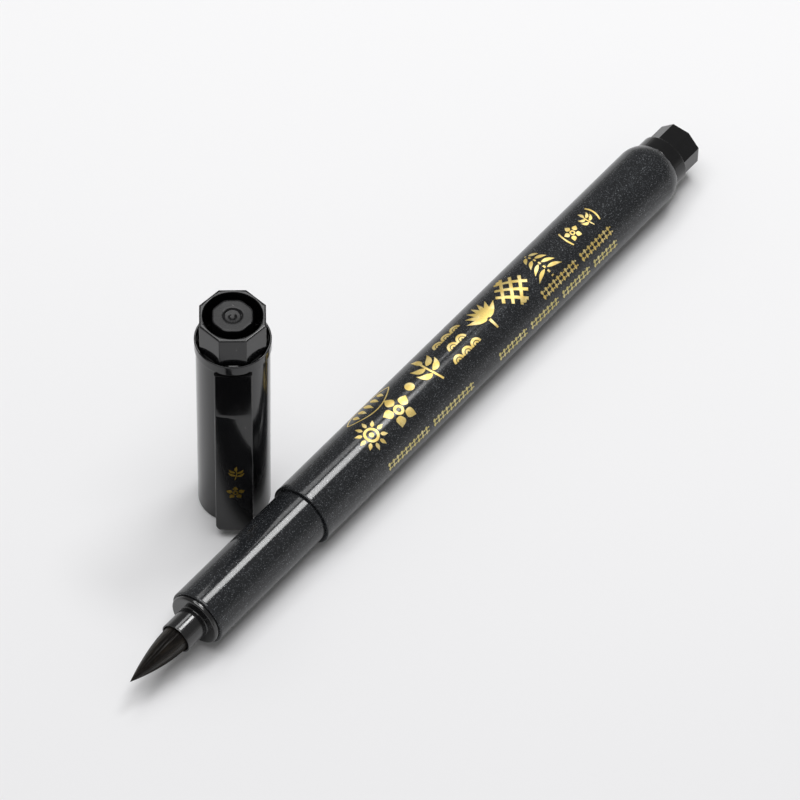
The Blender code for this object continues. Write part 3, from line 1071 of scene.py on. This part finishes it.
def makeHairMesh(shape):
    chance = random.Random(shape["seed"] + 1)
    verts, faces = [], []
    sides, steps = 3, 10
    for _ in range(shape["hairs"]):
        angle = chance.uniform(0, 2 * math.pi)
        depth = chance.uniform(0.93, 0.985)
        reach = shape["length"] * (1 - 0.5 * chance.random() ** 2.2)
        wander = chance.uniform(-0.10, 0.10)
        start = len(verts)
        for step in range(steps + 1):
            share = step / steps
            along = -0.8 + (reach * 0.998 + 0.8) * (1 - (1 - share) ** 1.4)
            thick = shape["hairRadius"] * (1 - 0.75 * share)
            radius = max(brushRadiusAt(shape, along) * depth - 0.2 * thick, 0)
            turn = angle + wander * math.sin(3 * share)
            for side in range(sides):
                around = 2 * math.pi * side / sides
                r = radius + thick * math.cos(around)
                t = turn + thick * math.sin(around) / max(radius, 0.12)
                verts.append(brushPoint(shape, along, r, t))
        faces += tubeFaces(start, steps + 1, sides)
    return meshFrom("brushHairs", verts, faces)


def makeBrush(shape):
    core = addPiece("brushCore", makeBrushCore(shape), penFrame, packedHair)
    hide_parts("bristle_tip", "bristle_root")
    hairs = addPiece("brushHairs", makeHairMesh(shape), penFrame, brushHair)
    for piece in (core, hairs):
        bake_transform(piece)


makeBrush(brushShape)
print("brush made")


# Inner pieces that keep the frame's own shape

innerFinish = {
    "brush_collar": collarPlastic,
    "bristle_heel": packedHair,
    "feed_wick": inkedFibre,
    "ink_reservoir": inkedFibre,
    "reservoir_film": wrapFilm,
}

for nodeName, material in innerFinish.items():
    node = frame["nodes"][nodeName]
    node.data.materials.clear()
    node.data.materials.append(material)


# Foil ornaments: strokes laid on a surface, each a thin raised strip. Sizes in millimetres.

foilShape = {
    "lift": 0.016,
    "sunk": 0.012,
    "stagger": 0.0012,  # keeps crossing strokes off the same level
    "barrelAcross": 3,
    "clipAcross": 2,
}


def barStroke(start, end, width, endWidth=None, steps=6):
    endWidth = width if endWidth is None else endWidth
    path = [Vector(start).lerp(Vector(end), i / steps) for i in range(steps + 1)]
    return [(point, width + (endWidth - width) * i / steps) for i, point in enumerate(path)]


def leafStroke(start, end, width, bend=0.0, steps=10):
    # A leaf: pointed at both ends, fullest a third of the way along
    start, end = Vector(start), Vector(end)
    side = Vector((start.y - end.y, end.x - start.x))
    stroke = []
    for i in range(steps + 1):
        share = i / steps
        point = start.lerp(end, share) + side * bend * math.sin(math.pi * share)
        stroke.append((point, max(width * math.sin(math.pi * share**0.75), width * 0.06)))
    return stroke


def arcStroke(centre, radius, start, stop, width, steps=14):
    turns = [start + (stop - start) * i / steps for i in range(steps + 1)]
    return [(Vector(centre) + heading(turn) * radius, width) for turn in turns]


def discStroke(centre, radius, steps=12):
    stroke = []
    for i in range(steps + 1):
        turn = math.pi * i / steps
        half = max(radius * math.sin(turn), radius * 0.05)
        stroke.append((Vector((centre[0] - radius * math.cos(turn), centre[1])), half * 2))
    return stroke


# Motifs one unit across

def blossomMotif():
    # Five petals round a ring
    strokes = [arcStroke((0, 0), 0.115, 0, 360, 0.085)]
    for petal in range(5):
        out = heading(90 + petal * 72)
        strokes.append(leafStroke(out * 0.18, out * 0.5, 0.29))
    return strokes


def sprigMotif():
    # A curved stem with leaves in pairs and one at the tip
    shares = [i / 8 for i in range(9)]
    stem = [(Vector((0.10 * math.sin(2.2 * share) - 0.06, -0.5 + 0.72 * share)), 0.06) for share in shares]
    strokes = [stem]
    for height, side, length in ((-0.22, 1, 0.40), (-0.16, -1, 0.40), (0.02, 1, 0.36), (0.06, -1, 0.36)):
        start = (0.02 + 0.04 * side, height)
        end = (0.02 + side * length, height + 0.24)
        strokes.append(leafStroke(start, end, 0.17, -0.16 * side))
    strokes.append(leafStroke((0.02, 0.16), (0.05, 0.54), 0.17, 0.1))
    return strokes


def waveMotif():
    # Scales of water in three rows
    strokes = []
    for row, count in enumerate((3, 2, 3)):
        for i in range(count):
            centre = (0.33 * (i - (count - 1) / 2), 0.26 - 0.33 * row)
            strokes.append(arcStroke(centre, 0.135, 0, 180, 0.07, 10))
            strokes.append(arcStroke(centre, 0.055, 0, 180, 0.05, 8))
    return strokes


def sunMotif():
    # Rays round a ring, with a dot in the middle
    strokes = [arcStroke((0, 0), 0.2, 0, 360, 0.085, 20), discStroke((0, 0), 0.075)]
    for i in range(10):
        out = heading(36 * i)
        strokes.append(leafStroke(out * 0.27, out * 0.5, 0.12))
    return strokes


def fanMotif():
    # A ginkgo leaf: ribs spreading from a stalk
    fork = Vector((0, -0.2))
    strokes = [barStroke((0, -0.5), fork, 0.06, 0.09)]
    for i in range(7):
        out = heading(30 + 20 * i)
        strokes.append(leafStroke(fork + out * 0.06, fork + out * 0.62, 0.15))
    return strokes


def pineMotif():
    # Tiers of needles either side of a trunk
    strokes = [barStroke((0, -0.48), (0, 0.46), 0.07, 0.04)]
    for tier in range(4):
        height = 0.28 - 0.2 * tier
        spread = 0.24 + 0.07 * tier
        for side in (-1, 1):
            start = (side * 0.05, height + 0.1)
            strokes.append(leafStroke(start, (side * spread, height - 0.07), 0.1, 0.06 * side))
    return strokes


def latticeMotif():
    # Crossed bars in a diamond
    strokes = []
    for i in (-1, 0, 1):
        for lean in (-1, 1):
            middle = Vector((0.17 * i, 0.17 * i * -lean))
            along = Vector((0.3, 0.3 * lean))
            strokes.append(barStroke(middle - along, middle + along, 0.085))
    strokes.append(discStroke((0, 0.44), 0.06))
    strokes.append(discStroke((0, -0.44), 0.06))
    return strokes


# Motifs with a size of their own, in millimetres

def frameMotif(length, height, width):
    # A pointed frame round a row of lozenges
    strokes = []
    for side in (-1, 1):
        path = []
        for i in range(29):
            share = i / 28
            reach = side * height * 0.5 * math.sin(math.pi * share) ** 0.8
            path.append((Vector((length * (share - 0.5), reach)), width))
        strokes.append(path)
    for i in range(-2, 3):
        middle = Vector((i * length * 0.145, 0))
        tall = Vector((0, height * (0.30 - 0.05 * abs(i))))
        strokes.append(leafStroke(middle - tall, middle + tall, length * 0.085))
    return strokes


def borderMotif(length, height, pitch, rest):
    # A running chain of lozenges with a pair of beads between them, and a rest now and then
    strokes = []
    for i in range(int(length / pitch)):
        if i % rest == rest - 1:
            continue
        middle = Vector((pitch * (i + 0.5) - length / 2, 0))
        tip = Vector((0, height * 0.5))
        strokes.append(leafStroke(middle - tip, middle, pitch * 0.56))
        strokes.append(leafStroke(middle, middle + tip, pitch * 0.56))
        for side in (-1, 1):
            bead = middle + Vector((pitch * 0.5, side * height * 0.25))
            strokes.append(discStroke(bead, pitch * 0.15, 6))
    return strokes


def moved(strokes, along, around, turn=0.0, size=1.0):
    turned = Matrix.Rotation(math.radians(turn), 2) * size
    shift = Vector((along, around))
    return [[(turned @ point + shift, width * size) for point, width in stroke] for stroke in strokes]


def foilMesh(name, strokes, surface, across):
    # surface(along, around, lift) gives a point; every stroke becomes one closed strip
    verts, faces = [], []
    for number, stroke in enumerate(strokes):
        lift = foilShape["lift"] + foilShape["stagger"] * (number % 6)
        rows = []
        for i, (point, width) in enumerate(stroke):
            ahead = stroke[min(i + 1, len(stroke) - 1)][0] - stroke[max(i - 1, 0)][0]
            side = Vector((-ahead.y, ahead.x)).normalized() * width / 2
            rows.append([point + side * (2 * j / across - 1) for j in range(across + 1)])
        start = len(verts)
        for row in rows:
            verts.extend(surface(p.x, p.y, lift) for p in row)
            verts.extend(surface(p.x, p.y, -foilShape["sunk"]) for p in reversed(row))
        faces += tubeFaces(start, len(rows), (across + 1) * 2)
    return meshFrom(name, verts, faces)


def barrelSurface(along, around, lift):
    radius = barrelRadius / mm
    angle = around / radius
    reach = (radius + lift) * mm
    return Vector((reach * math.cos(angle), reach * math.sin(angle), along * mm))


def clipSurface(side, height, lift):
    out = clipFace(clipShape, height) - clipShape["crown"] * (side / (clipShape["width"] / 2)) ** 2
    return Vector(((out + lift) * mm, side * mm, height * mm))


def aroundAt(degrees):
    return math.radians(degrees) * barrelRadius / mm


# Each ornament: motif, size, distance from the shoulder, degrees round from the top
barrelMarks = [
    (sunMotif, 6.0, 17.4, 12),
    (blossomMotif, 6.4, 24.6, 14),
    (sprigMotif, 6.8, 34.8, -4),
    (waveMotif, 7.2, 42.3, -1),
    (fanMotif, 6.8, 50.0, -1),
    (latticeMotif, 7.0, 57.6, 1),
    (pineMotif, 7.0, 65.3, 2),
]
smallMarks = [
    (blossomMotif, 3.4, 74.4, 5.5),
    (sprigMotif, 3.4, 78.4, 5.5),
]
# Each border: length, height, pitch, lozenges to a rest, distance from the shoulder, degrees round
stampedBorders = [(20.4, 1.8, 1.1, 10, 71.0, 48)]
greyBorders = [
    (24.4, 1.8, 1.12, 11, 28.5, 79),
    (33.8, 1.8, 1.12, 8, 63.9, 77),
]


def markStrokes(marks):
    strokes = []
    for motif, size, along, degrees in marks:
        strokes += moved(motif(), along, aroundAt(degrees), 180, size)
    return strokes


def borderStrokes(borders):
    strokes = []
    for length, height, pitch, rest, along, degrees in borders:
        strokes += moved(borderMotif(length, height, pitch, rest), along, aroundAt(degrees))
    return strokes


def makeBarrelFoil():
    strokes = markStrokes(barrelMarks)
    strokes += moved([discStroke((0, 0), 0.9)], 29.6, aroundAt(-2))
    strokes += moved(frameMotif(11.2, 4.4, 0.22), 22.4, aroundAt(-36))
    for along, middle in ((76.5, 180), (76.3, 0)):  # a pair of brackets round the small marks
        bracket = arcStroke((0, 0), 4.2, middle - 24, middle + 24, 0.32)
        strokes += moved([bracket], along, aroundAt(5.5))
    strokes += markStrokes(smallMarks) + borderStrokes(stampedBorders)
    mesh = foilMesh("barrelFoil", strokes, barrelSurface, foilShape["barrelAcross"])
    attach(addPiece("barrelFoil", mesh, penFrame, stampedFoil), "pen")
    mesh = foilMesh("barrelBorder", borderStrokes(greyBorders), barrelSurface, foilShape["barrelAcross"])
    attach(addPiece("barrelBorder", mesh, penFrame, greyFoil), "pen")


def makeClipFoil():
    strokes = moved(sprigMotif(), 0.3, 16.9, size=3.3) + moved(blossomMotif(), 0.2, 11.9, size=3.2)
    mesh = foilMesh("clipFoil", strokes, clipSurface, foilShape["clipAcross"])
    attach(addPiece("clipFoil", mesh, capFrame, dullFoil), "clip")


makeBarrelFoil()
makeClipFoil()
print("foil made")


# Studio

studio = {
    "floorSize": 6.0,
    # The floor's near and far colours paint light falling off: darker near the camera, lighter further
    # away
    "floorShadedNear": (0.815, 0.815, 0.828),
    "floorLitFar": (0.90, 0.90, 0.91),
    "paintedFalloffSpan": (-0.13, 0.16),  # painted shade falloff: metres from the origin, along its own heading
    "paintedFalloffHeading": 37,  # degrees round from +X
    "paintedFalloffWander": 0.04,
    "sky": (1.0, 0.995, 0.98),
    "skyStrength": 0.25,
    "horizonStrength": 0.6,
    "horizonTop": 0.36,
}
cardShape = {"near": 0.068, "far": 0.125, "half": 0.03, "height": 0.0004}  # metres from the cap's axis


def stagePiece(name, model, material):
    mesh = bpy.data.meshes.new(name)
    model.to_mesh(mesh)
    model.free()
    mesh.materials.append(material)
    piece = bpy.data.objects.new(name, mesh)
    bpy.context.scene.collection.objects.link(piece)
    return piece


def makeFloor(setup):
    material, tree, shader = newMaterial("palePaper")
    grain = noiseNode(tree, objectPosition(tree), 900.0, 3.0)
    # Painted shade: the floor's base colour is darker on the camera's side and lighter away from it,
    # standing for light falling off across the floor; slow noise makes the edge of the falloff wander
    values = {0: objectPosition(tree), 1: (*heading(setup["paintedFalloffHeading"]), 0)}
    away = addNode(tree, "ShaderNodeVectorMath", values, operation="DOT_PRODUCT").outputs["Value"]
    patches = mathNode(tree, "SUBTRACT", noiseNode(tree, objectPosition(tree), 6.0, 2.0), 0.5)
    wander = product(tree, patches, setup["paintedFalloffWander"])
    paintedFalloff = rangeNode(tree, mathNode(tree, "ADD", away, wander), *setup["paintedFalloffSpan"])
    feed(tree, shader, {
        "Base Color": mixColor(tree, paintedFalloff, setup["floorShadedNear"], setup["floorLitFar"]),
        "Roughness": rangeNode(tree, grain, 0.3, 0.7, 0.75, 0.85),
        "Specular IOR Level": 0.15,
    })
    model = bmesh.new()
    bmesh.ops.create_grid(model, x_segments=8, y_segments=8, size=setup["floorSize"] / 2)
    stagePiece("floor", model, material)


def makeFlag(shape):
    # A dark card lying in front of the cap, below the view, that only shows as a reflection in the clip
    material, tree, shader = newMaterial("blackCard")
    fibres = noiseNode(tree, objectPosition(tree), 300.0, 3.0)
    feed(tree, shader, {
        "Base Color": mixColor(tree, fibres, (0.002, 0.002, 0.002), (0.004, 0.004, 0.004)),
        "Roughness": rangeNode(tree, fibres, 0.3, 0.7, 0.85, 1.0),
        "Specular IOR Level": 0.0,
    })
    model = bmesh.new()
    for out, side in (("near", -1), ("near", 1), ("far", 1), ("far", -1)):
        model.verts.new(capFrame @ Vector((shape[out], side * shape["half"], shape["height"])))
    model.faces.new(model.verts)
    card = stagePiece("blackCard", model, material)
    card.visible_camera = False
    card.visible_diffuse = False
    card.visible_shadow = False


def makeSky(setup):
    world = bpy.data.worlds.new("studioSky")
    bpy.context.scene.world = world
    world.use_nodes = True
    tree = world.node_tree
    position = addNode(tree, "ShaderNodeTexCoord").outputs["Generated"]
    height = addNode(tree, "ShaderNodeSeparateXYZ", {0: position}).outputs["Z"]
    low, high = setup["horizonStrength"], setup["skyStrength"]
    strength = rangeNode(tree, height, 0.0, setup["horizonTop"], low, high)
    feed(tree, tree.nodes["Background"], {"Color": setup["sky"], "Strength": strength})


def softLight(name, place, aim, size, radiance, shape="ELLIPSE"):
    light = bpy.data.lights.new(name, "AREA")
    light.shape = shape
    light.size, light.size_y = size
    area = size[0] * size[1] * (math.pi / 4 if shape == "ELLIPSE" else 1)
    light.energy = radiance * area * math.pi
    lamp = bpy.data.objects.new(name, light)
    bpy.context.scene.collection.objects.link(lamp)
    lamp.location = place
    lamp.rotation_euler = (Vector(aim) - Vector(place)).to_track_quat("-Z", "X").to_euler()


makeFloor(studio)
makeSky(studio)
makeFlag(cardShape)
gripMiddle = Vector(((gripFront + shoulderX) / 2, penCentre.y, penCentre.z))
# The first lamp gives the bright line along the grip, and the second lights the cap's top
softLight("gripLamp", (0.282, -0.02, 0.606), gripMiddle, (0.10, 0.22), 16)
softLight("capLamp", (0.285, 0.262, 0.606), gripMiddle, (0.14, 0.26), 3.4)
# The broad box overhead lights everything and keeps the shadows short
softLight("topBox", (-0.05, 0.03, 0.95), (-0.05, 0, 0), (0.8, 0.7), 3.5, "RECTANGLE")
print("studio ready")
